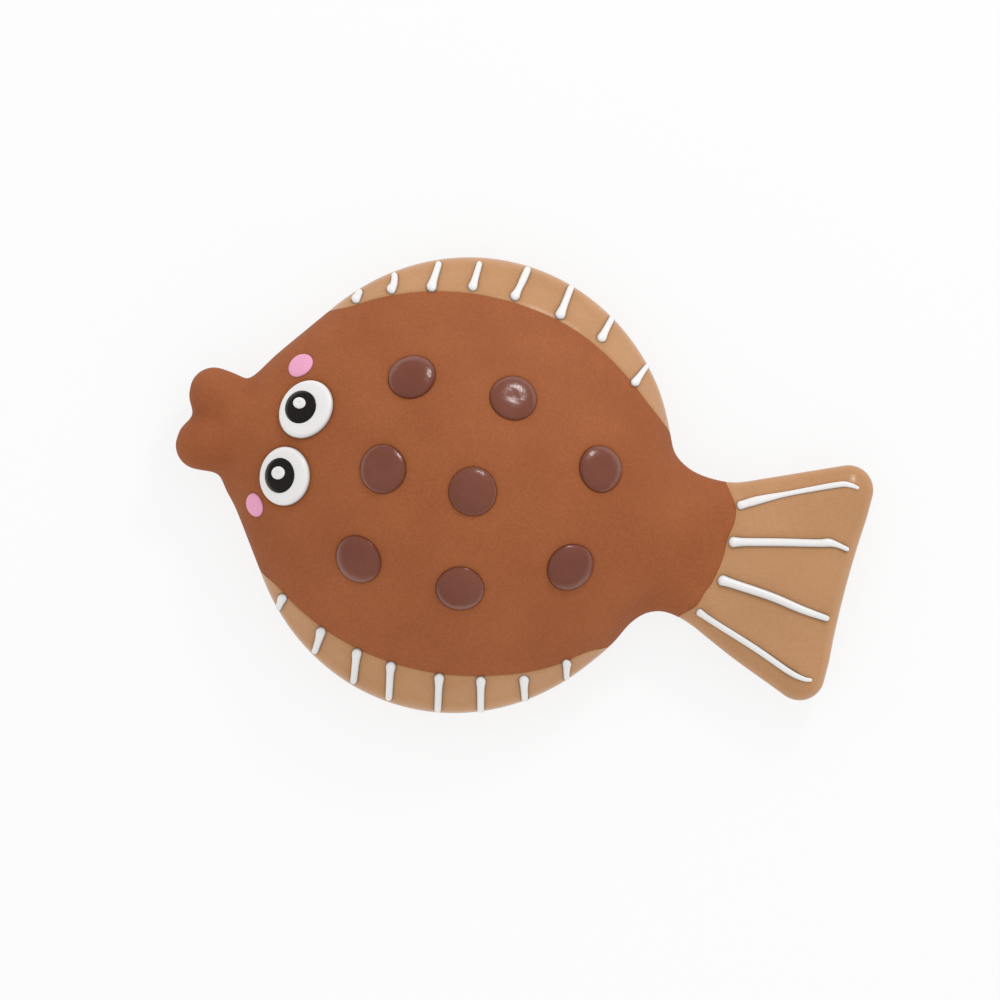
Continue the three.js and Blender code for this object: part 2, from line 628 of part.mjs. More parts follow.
CHEEKS.forEach((place, index) => {
  addPiece(`cheek_${index + 1}`, roundRelief(NECK_X, place, CHEEK_RADIUS, CHEEK_HEIGHT, GAP, 12), PAINT.pink);
});

DORSAL_RAYS.forEach((ray, index) => addPiece(`dorsal_ray_${index + 1}`, finRay(ray, 1), PAINT.white));
ANAL_RAYS.forEach((ray, index) => addPiece(`anal_ray_${index + 1}`, finRay(ray, -1), PAINT.white));
TAIL_RAYS.forEach((ray, index) => addPiece(`tail_ray_${index + 1}`, tailRay(ray), PAINT.white));

addPiece('squeaker_plug', squeakerPlug(), PAINT.plastic);
addPiece('squeaker_lid', squeakerLid(), PAINT.plastic);
addPiece('reed_seat', reedSeat(), PAINT.plastic);
addPiece('reed', reed(), PAINT.brass);
addPiece('reed_wedge', reedWedge(), PAINT.plastic);

export default toy;
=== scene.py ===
"""Looks of the flatfish squeaky toy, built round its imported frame.

The skin is a set of height formulas over the plan of the fish, sampled finely and cut along its
colour borders. Spots, eyes and paint rays are laid on the same formulas. Lengths are millimetres
until a mesh is made.
"""

import math

import bpy
import numpy as np
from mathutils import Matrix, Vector


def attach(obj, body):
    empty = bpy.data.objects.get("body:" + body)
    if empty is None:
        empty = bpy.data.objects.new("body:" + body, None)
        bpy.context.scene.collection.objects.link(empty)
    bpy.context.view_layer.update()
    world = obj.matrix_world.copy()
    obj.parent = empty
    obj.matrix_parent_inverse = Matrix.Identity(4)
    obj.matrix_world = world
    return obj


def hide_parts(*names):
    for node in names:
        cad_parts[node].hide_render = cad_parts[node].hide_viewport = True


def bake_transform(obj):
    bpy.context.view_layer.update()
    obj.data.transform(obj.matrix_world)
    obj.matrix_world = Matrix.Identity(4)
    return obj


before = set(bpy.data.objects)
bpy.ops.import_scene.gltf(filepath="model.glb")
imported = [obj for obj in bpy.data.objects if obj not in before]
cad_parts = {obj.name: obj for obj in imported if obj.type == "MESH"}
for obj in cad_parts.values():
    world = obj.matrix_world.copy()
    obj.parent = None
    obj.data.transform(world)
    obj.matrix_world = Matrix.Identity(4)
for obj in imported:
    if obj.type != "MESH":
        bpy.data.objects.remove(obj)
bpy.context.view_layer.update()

MM = 0.001

# Fineness of the meshes: steps between rows of points, and counts of points
OUTLINE_STEP = 0.7
SKIN_STEP = 0.8
TAIL_STEP = 0.9
RIM_STEP = 0.25
TIP_STEP = 0.01
CORNER_ROWS = 16
ARC_POINTS = 40
OVAL_POINTS = 160
BACK_COLUMNS = 111
TAIL_COLUMNS = 61
FIN_COLUMNS = 22
BELLY_RINGS = 60
REAR_POINTS = 60
BUTTON_SIDES = 64
BUTTON_TOP_RINGS = 9
BUTTON_EDGE_RINGS = 12
BEAD_ROWS = 40
BEAD_COLUMNS = 17
CURVE_POINTS = 160
BORDER_POINTS = 200
TURNED_SIDES = 96
RIM_SLACK = 1e-6  # within which a point counts as lying on the rim
RIM_TOLERANCE = 0.05  # the same for the belly's edge, whose points are spread along chords
SLOPE_STEP = 0.15  # over which the skin's slope is taken

# Plan outline, as in the part: a body oval, a straight-sided head, a waisted stalk and a flared tail
BODY_X = -14.3
BODY_HALF_LENGTH = 54.0
BODY_HALF_WIDTH = 58.0
NECK_X = -73.5
NECK_HALF_WIDTH = 12.6
NECK_BLEND = 1.4  # softness of the corner between lips and head
STALK_X = 44.7
STALK_HALF_WIDTH = 17.9
TAIL_END_X = 87.1
TAIL_FLARE_RADIUS = 24.0
TAIL_FLARE_ANGLE = math.radians(24)
TAIL_CORNER_RADIUS = 6.3
TAIL_DENT = 0.7  # of the hollow in the tail's end
TAIL_DENT_HALF_WIDTH = 19.0
TAIL_DENT_LENGTH = 16.0

# Sideways lean of the casting off its middle line: at the tail, the neck and the stalk
TAIL_LEAN = 1.1
TAIL_LEAN_X = 42.0
TAIL_LEAN_LENGTH = 14.0
LOCAL_LEANS = [(-72.0, 1.0, 2.6), (34.0, 0.9, 3.6)]  # along the fish, lean, reach

# The tail's corner on the anal fin's side lies nearer to the middle than the other one
CORNER_PULL = 1.0
CORNER_PULL_X = 60.0
CORNER_PULL_LENGTH = 22.0
CORNER_PULL_Y = 10.0
CORNER_PULL_WIDTH = 16.0

# Lips: two round lobes with a crease between them
LIP_FRONT_X = -87.1
LIP_CORNER_RADIUS = 6.1
LIP_FLAT_HALF_WIDTH = 7.0
LIP_TAPER = 0.7  # of the lips' sides towards the neck
LIP_NOTCH = 2.2
LIP_NOTCH_HALF_WIDTH = 3.2
LIP_NOTCH_LENGTH = 9.0
LIP_PUFF = 1.2
LIP_PUFF_X = -79.5
LIP_PUFF_Y = 6.0
LIP_PUFF_LENGTH = 5.5
LIP_PUFF_WIDTH = 4.6
LIP_CREASE = 0.6
LIP_CREASE_HALF_WIDTH = 2.6
LIP_CREASE_END_X = -74.0
LIP_CREASE_LENGTH = 9.0
LIP_LIFT = 2.0

# Heights of the skin
RIM_HEIGHT = 9.0
BRIM_RISE = 7.0
BRIM_ROUND = 10.0
BRIM_POWER = 3.0  # squareness of the round
BELLY_ROUND = 12.0
DOME_RISE = 25.0
DOME_REACH = 64.0
DOME_FULLNESS = 1.3
DOME_MARGIN = 4.0
DOME_FOOT_SOFTNESS = 0.07  # rounds the crease between brim and dome
DOME_FOOT_BLEND = 4.0
TAIL_RISE = 4.6
TAIL_CROWN = 1.8  # extra height along the middle of the tail
TAIL_DROP = 5.5
TAIL_ROUND = 8.5
TAIL_POWER = 2.0
TAIL_EASE = 13.0
WALL = 2.4

# Colour borders
BORDER_X = -15.8
BORDER_HALF_LENGTH = 57.0
BORDER_HALF_WIDTH = 47.9
BORDER_LEAN = 0.8  # of the border towards the anal fin, at its rear
BORDER_LEAN_X = 2.0
BORDER_LEAN_LENGTH = 20.0
FRONT_LIFT_X = -51.0  # where the border starts to bend out to the rim, at the fins' front tips
FRONT_LIFT = 0.038
REAR_LIFT_X = 24.0  # the same at their rear tips
REAR_LIFT = 0.042
TAIL_BORDER = [  # across the fish, and along it
    (-19.0, 46.6), (-17.2, 47.9), (-13.7, 50.9), (-9.6, 52.2), (-7.1, 53.2), (-2.0, 54.2), (2.2, 54.4),
    (4.6, 54.2), (9.5, 54.9), (13.0, 54.3), (15.6, 52.6), (18.0, 50.6), (19.0, 49.9),
]
FILM_STEP = 0.18  # of the brown film above the tan
FILM_OVERLAP = 1.2
TAN_SINK = 1.4 * FILM_STEP  # of the tan where it runs under the brown film
TAIL_TUCK = 0.996  # of the tail's root, inside the back and the belly
UNDER_TUCK = np.array([[0.3], [0.03]])  # of the first rows of the tail's underside, above the belly

# Relief on the skin
SPOT_RADIUS = 6.1
SPOT_HEIGHT = 1.5
SPOT_BEVEL = 0.62
SPOT_SLUMP = 0.6  # 0.5 gives a quarter round, and more slopes off like a lens
SPOT_DISH = 0.12
SPOT_WOBBLE = 0.012
SPOT_SPREAD = 0.02  # of the radius from spot to spot
SPOTS = [
    (-33.2, 23.1), (-7.2, 24.4), (18.5, 12.8), (-34.3, -1.1),
    (-11.1, -0.8), (17.4, -13.0), (-34.6, -24.6), (-8.0, -25.2),
]
FOOT_DEPTH = 0.4  # of every relief below the skin
# Ovals: middle along and across the fish, half-length, half-width, degrees from the tail's direction
EYE_WHITES = [(-56.9, 8.5, 7.75, 6.3, 71), (-57.8, -9.1, 7.4, 6.35, 101)]
PUPILS = [(-58.0, 8.6, 4.35, 3.9, 71), (-58.7, -9.1, 4.55, 3.85, 101)]
GLINTS = [(-58.2, 9.4, 1.6, 1.4, 10), (-58.9, -8.5, 1.7, 1.6, 30)]
CHEEKS = [(-61.2, 18.9, 3.5, 2.5, 55), (-63.5, -18.1, 3.0, 2.1, 120)]
EYE_HEIGHT = 1.2
EYE_BEVEL = 0.16
EYE_DISH = 0.35
EYE_WOBBLE = 0.006
PUPIL_HEIGHT = 0.75
PUPIL_BEVEL = 0.5
GLINT_HEIGHT = 0.35
GLINT_BEVEL = 0.6
GLINT_DISH = 0.12
CHEEK_HEIGHT = 0.5
CHEEK_BEVEL = 0.55
CHEEK_WOBBLE = 0.02

# Paint rays: stations along and across the fish with the half-width of the bead, from root to tip
BEAD_ASPECT = 0.85  # height of a bead over its half-width
BEAD_BULB = 0.14  # extra spread of its root
BEAD_FOOT = 0.8  # width of its sunk underside over its own
BEAD_RIM_MARGIN = 0.5  # between a bead and the rim
DORSAL_RAYS = [
    [(-52.3, 37.6, 1.0), (-51.8, 39.4, 0.95), (-51.4, 41.4, 0.7)],
    [(-44.3, 42.2, 1.15), (-43.7, 44.2, 0.95), (-43.8, 45.8, 0.9), (-44.3, 47.6, 0.8)],
    [(-34.3, 45.2, 1.25), (-34.2, 48.2, 1.0), (-34.0, 53.2, 0.8)],
    [(-24.3, 48.0, 1.2), (-24.2, 50.4, 0.95), (-24.1, 55.8, 0.75)],
    [(-13.6, 48.4, 1.35), (-13.0, 51.0, 0.9), (-12.4, 54.2, 1.0), (-11.9, 57.5, 0.9)],
    [(-1.3, 46.7, 1.35), (-0.9, 49.6, 1.0), (-0.2, 55.8, 0.85)],
    [(10.2, 43.8, 1.2), (10.8, 46.4, 0.95), (11.9, 51.2, 0.75)],
    [(21.1, 35.2, 1.1), (21.9, 37.4, 0.9), (23.5, 41.4, 0.6)],
]
ANAL_RAYS = [
    [(-50.6, -38.0, 1.15), (-50.9, -40.0, 0.95), (-51.2, -42.4, 0.7)],
    [(-39.2, -43.6, 1.2), (-39.2, -46.4, 1.0), (-39.5, -50.6, 0.8)],
    [(-29.2, -46.5, 1.2), (-28.8, -49.6, 1.0), (-28.0, -55.4, 0.9)],
    [(-20.1, -47.5, 1.2), (-19.6, -50.6, 1.0), (-18.3, -57.2, 0.9)],
    [(-7.6, -47.3, 1.25), (-7.0, -50.4, 1.0), (-5.6, -57.0, 0.9)],
    [(2.7, -45.4, 1.2), (3.4, -48.4, 1.0), (5.0, -54.6, 0.9)],
    [(13.1, -42.4, 1.2), (13.8, -45.0, 1.0), (15.2, -49.3, 0.8)],
    [(22.6, -35.8, 1.1), (23.0, -37.8, 0.9), (23.8, -40.9, 0.7)],
]
TAIL_RAYS = [
    [(54.4, 12.4, 0.91), (58.0, 14.6, 1.09), (61.5, 16.5, 0.91), (66.7, 19.1, 0.65), (77.7, 24.2, 0.74),
     (80.6, 24.9, 0.65), (83.2, 24.7, 0.43)],
    [(54.6, 3.2, 1.3), (58.0, 4.1, 1.09), (67.0, 6.4, 1.04), (76.6, 8.7, 1.0), (79.1, 9.5, 1.09),
     (81.4, 9.5, 0.74), (84.6, 9.0, 0.57)],
    [(54.4, -6.5, 1.22), (58.5, -6.7, 1.17), (68.7, -7.4, 1.09), (77.0, -8.6, 1.0), (84.2, -9.2, 0.74)],
    [(51.3, -15.5, 0.83), (56.0, -17.2, 0.78), (68.2, -21.1, 0.78), (77.5, -24.5, 0.74), (81.6, -25.4, 0.61),
     (84.0, -25.2, 0.48)],
]

# Squeaker, seen from below
HOLE_RADIUS = 7.3
COUNTERBORE_RADIUS = 10.3
COUNTERBORE_DEPTH = 1.9
SOCKET_TOP = 5.0
SOCKET_PROFILE = [  # radius and height, from the socket's inner end to the flat of the belly
    (HOLE_RADIUS, SOCKET_TOP), (HOLE_RADIUS, COUNTERBORE_DEPTH + 0.3), (HOLE_RADIUS + 0.3, COUNTERBORE_DEPTH),
    (COUNTERBORE_RADIUS - 0.2, COUNTERBORE_DEPTH), (COUNTERBORE_RADIUS, COUNTERBORE_DEPTH - 0.2),
    (COUNTERBORE_RADIUS, 0.7), (COUNTERBORE_RADIUS + 0.2, 0.25), (COUNTERBORE_RADIUS + 0.7, 0.0),
]
PLUG_PROFILE = [  # radius and height, round the section
    (2.5, 1.1), (2.7, 0.6), (3.1, 0.4), (9.3, 0.4), (9.75, 0.5), (9.98, 0.8), (9.98, 1.3), (9.8, 1.55),
    (9.4, 1.6), (7.0, 1.6), (7.0, 5.3), (7.9, 5.35), (8.0, 5.5), (7.1, 6.5), (7.0, 8.8), (6.8, 9.0),
    (5.8, 9.0), (5.6, 8.8), (5.6, 2.1), (5.4, 2.0), (2.7, 2.0), (2.5, 1.8),
]


def smooth(t):
    t = np.clip(t, 0, 1)
    return t * t * (3 - 2 * t)


def quarter_round(t, power=2.0):
    """Rise from 0 to 1 over a rounded edge. A higher power makes it squarer."""
    return (1 - (1 - np.clip(t, 0, 1)) ** power) ** (1 / power)


def soft_max(a, b, width):
    return (a + b + np.sqrt((a - b) ** 2 + width ** 2)) / 2


def spline(rows, count):
    """Points along a smooth curve through rows of numbers, evenly spread in row number."""
    knots = np.array(rows, float)
    knots = np.vstack([2 * knots[0] - knots[1], knots, 2 * knots[-1] - knots[-2]])
    place = np.linspace(0, len(rows) - 1, count)
    i = np.minimum(place.astype(int), len(rows) - 2)
    t = (place - i)[:, None]
    a, b, c, d = knots[i], knots[i + 1], knots[i + 2], knots[i + 3]
    square, cube = 2 * a - 5 * b + 4 * c - d, 3 * b - a - 3 * c + d
    return 0.5 * (2 * b + (c - a) * t + square * t ** 2 + cube * t ** 3)


def arc(middle_x, middle_y, radius, start, end):
    angle = np.linspace(start, end, ARC_POINTS)
    return np.stack([middle_x + radius * np.cos(angle), middle_y + radius * np.sin(angle)], 1)


def stalk_round(angle):
    """Round that touches the body oval at an angle and is level at the waist of the stalk."""
    normal = np.array([math.cos(angle) / BODY_HALF_LENGTH, math.sin(angle) / BODY_HALF_WIDTH])
    normal /= np.linalg.norm(normal)
    x = BODY_X + BODY_HALF_LENGTH * math.cos(angle)
    radius = (STALK_X - x) / normal[0]
    excess = BODY_HALF_WIDTH * math.sin(angle) + radius * (normal[1] - 1) - STALK_HALF_WIDTH
    return radius, math.atan2(normal[1], normal[0]), excess


def body_outline():
    """Upper half of the outline from the neck to the end of the tail."""
    neck = np.array([(NECK_X - BODY_X) / BODY_HALF_LENGTH, NECK_HALF_WIDTH / BODY_HALF_WIDTH])
    touch = math.atan2(neck[1], neck[0]) - math.acos(1 / np.linalg.norm(neck))
    low, high = 0.05, 1.3  # angles on the oval that lie on both sides of the answer
    for _ in range(60):
        leave = (low + high) / 2
        low, high = (leave, high) if stalk_round(leave)[2] < 0 else (low, leave)
    radius, normal_angle, _ = stalk_round(leave)
    angle = np.linspace(touch, leave, OVAL_POINTS)
    oval = np.stack([BODY_X + BODY_HALF_LENGTH * np.cos(angle), BODY_HALF_WIDTH * np.sin(angle)], 1)
    waist = arc(STALK_X, STALK_HALF_WIDTH + radius, radius, normal_angle + math.pi, 1.5 * math.pi)
    flare = arc(STALK_X, STALK_HALF_WIDTH + TAIL_FLARE_RADIUS, TAIL_FLARE_RADIUS,
                1.5 * math.pi, 1.5 * math.pi + TAIL_FLARE_ANGLE)
    corner_x = TAIL_END_X - TAIL_CORNER_RADIUS
    corner_y = flare[-1, 1] + (corner_x - flare[-1, 0]) * math.tan(TAIL_FLARE_ANGLE)
    corner_y -= TAIL_CORNER_RADIUS / math.cos(TAIL_FLARE_ANGLE)
    corner = arc(corner_x, corner_y, TAIL_CORNER_RADIUS, math.pi / 2 + TAIL_FLARE_ANGLE, 0)
    return np.vstack([oval, waist[1:], flare[1:], corner])


BODY_OUTLINE = body_outline()
LIP_CORNER_X = LIP_FRONT_X + LIP_CORNER_RADIUS


def half_width(x):
    """Half-width of the whole outline at stations along the fish."""
    first = BODY_OUTLINE[0]
    slope = (first[1] - NECK_HALF_WIDTH) / (first[0] - NECK_X)
    head = np.where(x < first[0], NECK_HALF_WIDTH + slope * (x - NECK_X),
                    np.interp(x, BODY_OUTLINE[:, 0], BODY_OUTLINE[:, 1]))
    ahead = np.minimum(x - LIP_CORNER_X, 0)
    lips = LIP_FLAT_HALF_WIDTH + np.sqrt(np.maximum(0, LIP_CORNER_RADIUS ** 2 - ahead ** 2))
    lips = lips - LIP_TAPER * smooth((x - LIP_CORNER_X) / (NECK_X - LIP_CORNER_X))
    return np.where(x < BODY_X, soft_max(lips, head, NECK_BLEND), head)


def stations(start, end, step):
    return np.linspace(start, end, int(round(abs(end - start) / step)) + 1)


LIP_ROWS = LIP_FRONT_X + LIP_CORNER_RADIUS * (1 - np.cos(np.linspace(0, math.pi / 2, CORNER_ROWS)))
TAIL_CORNER_X = TAIL_END_X - TAIL_CORNER_RADIUS
END_ROWS = TAIL_CORNER_X + TAIL_CORNER_RADIUS * np.sin(np.linspace(0, math.pi / 2, CORNER_ROWS))


def whole_outline():
    """Upper half of the outline, from the middle of the lips to the middle of the tail's end."""
    x = np.concatenate([LIP_ROWS, stations(LIP_CORNER_X, TAIL_CORNER_X, OUTLINE_STEP)[1:], END_ROWS[1:]])
    side = np.stack([x, half_width(x)], 1)
    return np.vstack([[LIP_FRONT_X, 0], side, [TAIL_END_X, 0]])


OUTLINE = whole_outline()


def edge_depth(x, y):
    """Distance inside the outline of points on the plan."""
    points = np.stack([np.ravel(x), np.abs(np.ravel(y))], 1)
    nearest = np.full(len(points), np.inf)
    for start, end in zip(OUTLINE[:-1], OUTLINE[1:]):
        side = end - start
        share = np.clip((points - start) @ side / (side @ side), 0, 1)
        nearest = np.minimum(nearest, np.hypot(*(points - start - share[:, None] * side).T))
    return nearest.reshape(np.shape(x))


def border_half_width(x):
    """Half-width of the oval border between the brown back and the fins."""
    along = (x - BORDER_X) / BORDER_HALF_LENGTH
    return BORDER_HALF_WIDTH * np.sqrt(np.maximum(0, 1 - along ** 2))


def lifted_border(x, side):
    """Half-width of the border on one side, with its ends bent out towards the rim."""
    front, rear = np.maximum(0, FRONT_LIFT_X - x), np.maximum(0, x - REAR_LIFT_X)
    aside = BORDER_LEAN * smooth((x - BORDER_LEAN_X) / BORDER_LEAN_LENGTH)
    return border_half_width(x) + FRONT_LIFT * front ** 2 + REAR_LIFT * rear ** 2 - side * aside


def fin_tips(side):
    """Stations between which the border lies inside the rim."""
    x = stations(BORDER_X - BORDER_HALF_LENGTH, BORDER_X + BORDER_HALF_LENGTH, TIP_STEP)
    inside = lifted_border(x, side) < half_width(x)
    middle = len(x) // 2
    front = middle - np.argmin(inside[middle::-1])
    rear = middle + np.argmin(inside[middle:])
    return x[front], x[rear]


FIN_TIPS = {side: fin_tips(side) for side in (1, -1)}


def fin_edge(x, side):
    """Half-width of the brown back: the border between the fins' tips, and the rim beyond them."""
    rim = half_width(x)
    edges = {}
    for one_side, (front, rear) in FIN_TIPS.items():
        between = (x > front) & (x < rear)
        edges[one_side] = np.where(between, np.minimum(lifted_border(x, one_side), rim), rim)
    return np.where(side > 0, edges[1], edges[-1])


def rim_edge(x, side):
    """Half-width of the rim, the same on both sides."""
    return half_width(x)


def tail_border(y):
    across, along = spline(TAIL_BORDER, BORDER_POINTS).T
    return np.interp(y, across, along)


def tail_share(x):
    return smooth((x - STALK_X + TAIL_EASE) / (2 * TAIL_EASE))


def lip_form(x, y):
    """Puff of the lobes and the crease between them."""
    lobe = ((x - LIP_PUFF_X) / LIP_PUFF_LENGTH) ** 2 + ((np.abs(y) - LIP_PUFF_Y) / LIP_PUFF_WIDTH) ** 2
    crease = np.exp(-(y / LIP_CREASE_HALF_WIDTH) ** 2) * smooth((LIP_CREASE_END_X - x) / LIP_CREASE_LENGTH)
    return LIP_PUFF * np.exp(-lobe) - LIP_CREASE * crease


def upper(x, y):
    """Height of the upper face of the skin."""
    depth = edge_depth(x, y)
    share = tail_share(x)
    rise = BRIM_RISE + (TAIL_RISE - BRIM_RISE) * share
    edge = quarter_round(depth / (BRIM_ROUND + (TAIL_ROUND - BRIM_ROUND) * share),
                         BRIM_POWER + (TAIL_POWER - BRIM_POWER) * share)
    along = (x - BODY_X) / DOME_REACH
    foot = soft_max(border_half_width(x), half_width(x) - DOME_MARGIN, DOME_FOOT_BLEND)
    dome = soft_max(1 - (y / foot) ** 2, 0, DOME_FOOT_SOFTNESS)
    dome = DOME_RISE * np.maximum(0, 1 - along ** 2) ** DOME_FULLNESS * dome
    crown = TAIL_CROWN * share * (1 - (y / half_width(x)) ** 2)
    return RIM_HEIGHT + edge * (rise + crown + lip_form(x, y)) + dome * smooth(depth)


def lower(x, y):
    """Height of the lower face of the skin."""
    drop = RIM_HEIGHT + (TAIL_DROP - RIM_HEIGHT) * tail_share(x)
    drop = drop - LIP_LIFT * smooth((NECK_X - x) / LIP_CORNER_RADIUS)
    return RIM_HEIGHT - drop * quarter_round(edge_depth(x, y) / BELLY_ROUND)


def upper_normal(x, y):
    slope_x = (upper(x + SLOPE_STEP, y) - upper(x - SLOPE_STEP, y)) / (2 * SLOPE_STEP)
    slope_y = (upper(x, y + SLOPE_STEP) - upper(x, y - SLOPE_STEP)) / (2 * SLOPE_STEP)
    normal = np.stack([-slope_x, -slope_y, np.ones_like(slope_x)], -1)
    return normal / np.linalg.norm(normal, axis=-1, keepdims=True)


def lean(x):
    """How far the casting lies off its middle line, towards the anal fin."""
    total = TAIL_LEAN * smooth((x - TAIL_LEAN_X) / TAIL_LEAN_LENGTH)
    for middle, amount, reach in LOCAL_LEANS:
        total = total + amount * np.exp(-((x - middle) / reach) ** 2)
    return total


def shaped(points):
    """Notch between the lips, hollow of the tail's end, lean and pulled corner, laid on finished points."""
    x, y, z = points[..., 0], points[..., 1], points[..., 2]
    ahead = smooth((LIP_FRONT_X + LIP_NOTCH_LENGTH - x) / LIP_NOTCH_LENGTH)
    behind = smooth((x - TAIL_END_X + TAIL_DENT_LENGTH) / TAIL_DENT_LENGTH)
    shift = LIP_NOTCH * np.exp(-(y / LIP_NOTCH_HALF_WIDTH) ** 2) * ahead
    shift = shift - TAIL_DENT * np.maximum(0, 1 - (y / TAIL_DENT_HALF_WIDTH) ** 2) * behind
    pull = CORNER_PULL * smooth((x - CORNER_PULL_X) / CORNER_PULL_LENGTH)
    pull = pull * smooth((-y - CORNER_PULL_Y) / CORNER_PULL_WIDTH)
    return np.stack([x + shift, y - lean(x) + pull, z], -1)


def on_upper(x, y, lift):
    """Points on the upper face of the leaning casting, lifted square to it."""
    level = y + lean(x)
    points = np.stack([x, y, upper(x, level)], -1)
    return points + lift[..., None] * upper_normal(x, level)


WELD = 0.002  # within which points of neighbouring grids become one


def welded(patches):
    """Points and faces of several grids of points, each with True where it faces down."""
    points, faces, start = [], [], 0
    for grid, down in patches:
        rows, columns = grid.shape[:2]
        index = start + np.arange(rows * columns).reshape(rows, columns)
        quads = np.stack([index[:-1, :-1], index[1:, :-1], index[1:, 1:], index[:-1, 1:]], -1)
        quads = quads.reshape(-1, 4)
        faces.append(quads[:, ::-1] if down else quads)
        points.append(grid.reshape(-1, 3))
        start += rows * columns
    points = np.concatenate(points)
    _, first, place = np.unique(np.round(points / WELD), axis=0, return_index=True, return_inverse=True)
    kept = [list(dict.fromkeys(face)) for face in place.ravel()[np.concatenate(faces)].tolist()]
    return points[first], [face for face in kept if len(face) > 2]


def normals_of(points, faces):
    triangles = np.array([(f[0], f[i], f[i + 1]) for f in faces for i in range(1, len(f) - 1)])
    a, b, c = (points[triangles[:, i]] for i in range(3))
    normals = np.zeros_like(points)
    for corner in range(3):
        np.add.at(normals, triangles[:, corner], np.cross(b - a, c - a))
    return normals / np.maximum(1e-12, np.linalg.norm(normals, axis=1, keepdims=True))


def thickened(points, faces):
    """Closed shell out of an open face, with its wall on the inside."""
    count = len(points)
    inner = points - WALL * normals_of(points, faces)
    edges = {(f[i], f[(i + 1) % len(f)]) for f in faces for i in range(len(f))}
    rim = [(b, a, a + count, b + count) for a, b in sorted(edges) if (b, a) not in edges]
    inside = [[p + count for p in reversed(f)] for f in faces]
    return np.concatenate([points, inner]), faces + inside + rim


def make(name, points, faces, material, slot, replaced, sharp=50):
    """A smooth mesh piece with one material, that stands for CAD nodes. Its slot is not used."""
    mesh = bpy.data.meshes.new(name)
    mesh.from_pydata((points * MM).tolist(), [], [list(f) for f in faces])
    mesh.validate()
    mesh.polygons.foreach_set("use_smooth", [True] * len(mesh.polygons))
    mesh.set_sharp_from_angle(angle=math.radians(sharp))
    mesh.materials.append(material)
    piece = bpy.data.objects.new(name, mesh)
    bpy.context.scene.collection.objects.link(piece)
    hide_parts(*replaced)
    return piece


def follow(piece):
    """Bakes the piece's placement into its mesh."""
    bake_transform(piece)


# Materials


class Nodes:
    """Short hand for building one node material."""

    def __init__(self, name):
        self.material = bpy.data.materials.new(name)
        self.material.use_nodes = True
        self.tree = self.material.node_tree
        self.shader = self.tree.nodes["Principled BSDF"]
        self.place = self.tree.nodes.new("ShaderNodeTexCoord").outputs["Object"]

    def add(self, kind, **inputs):
        node = self.tree.nodes.new(kind)
        for name, value in inputs.items():
            self.put(node.inputs[name.replace("_", " ")], value)
        return node

    def put(self, socket, value):
        if isinstance(value, bpy.types.NodeSocket):
            self.tree.links.new(value, socket)
        else:
            socket.default_value = value

    def noise(self, scale, detail):
        return self.add("ShaderNodeTexNoise", Vector=self.place, Scale=scale, Detail=detail).outputs["Fac"]

    def ramp(self, factor, stops, colours):
        """Colour that goes from the first to the second between two stops."""
        node = self.add("ShaderNodeValToRGB", Fac=factor)
        for element, position, colour in zip(node.color_ramp.elements, stops, colours):
            element.position, element.color = position, colour
        return node.outputs["Color"]

    def multiply(self, share, colour, by):
        node = self.tree.nodes.new("ShaderNodeMix")
        node.data_type = "RGBA"
        node.blend_type = "MULTIPLY"
        for index, value in ((0, share), (6, colour), (7, by)):  # the factor and the two colours
            self.put(node.inputs[index], value)
        return node.outputs[2]

    def span(self, value, low, high, start=0.0, end=1.0):
        """low to high while the value goes from start to end."""
        node = self.add("ShaderNodeMapRange", Value=value, From_Min=start, From_Max=end,
                        To_Min=low, To_Max=high)
        return node.outputs["Result"]

    def bump(self, height, distance, below=None):
        node = self.add("ShaderNodeBump", Height=height, Distance=distance, Strength=1.0)
        if below is not None:
            self.put(node.inputs["Normal"], below)
        return node.outputs["Normal"]

    def finish(self, **inputs):
        for name, value in inputs.items():
            self.put(self.shader.inputs[name.replace("_", " ")], value)
        return self.material


def srgb(red, green, blue):
    """Linear colour of eight-bit screen values."""
    def linear(value):
        value /= 255
        return value / 12.92 if value <= 0.04045 else ((value + 0.055) / 1.055) ** 2.4
    return (linear(red), linear(green), linear(blue), 1.0)


# Latex and paint: scales per metre, and the stops between which a tone changes
BLACKEST = (0, 0, 0, 1)
WHITEST = (1, 1, 1, 1)
BLOTCH_SCALE = 55.0
BLOTCH_STOPS = (0.3, 0.7)
SPECKLE_STOPS = (0.35, 0.65)
SPECKLE_TONE = (0.8, 0.8, 0.8, 1)
GLOSS_SCALE = 190.0  # of patches of more and less gloss
GLOSS_SPREAD = 0.06
OCCLUSION_REACH = 0.003  # of the painted shade round raised paint and in creases
PAINTED_SHADE = 0.7
PAINTED_SHADE_STOPS = (0.5, 0.97)
DULL_STOPS = (0.8, 0.97)  # between which a nook loses its shine


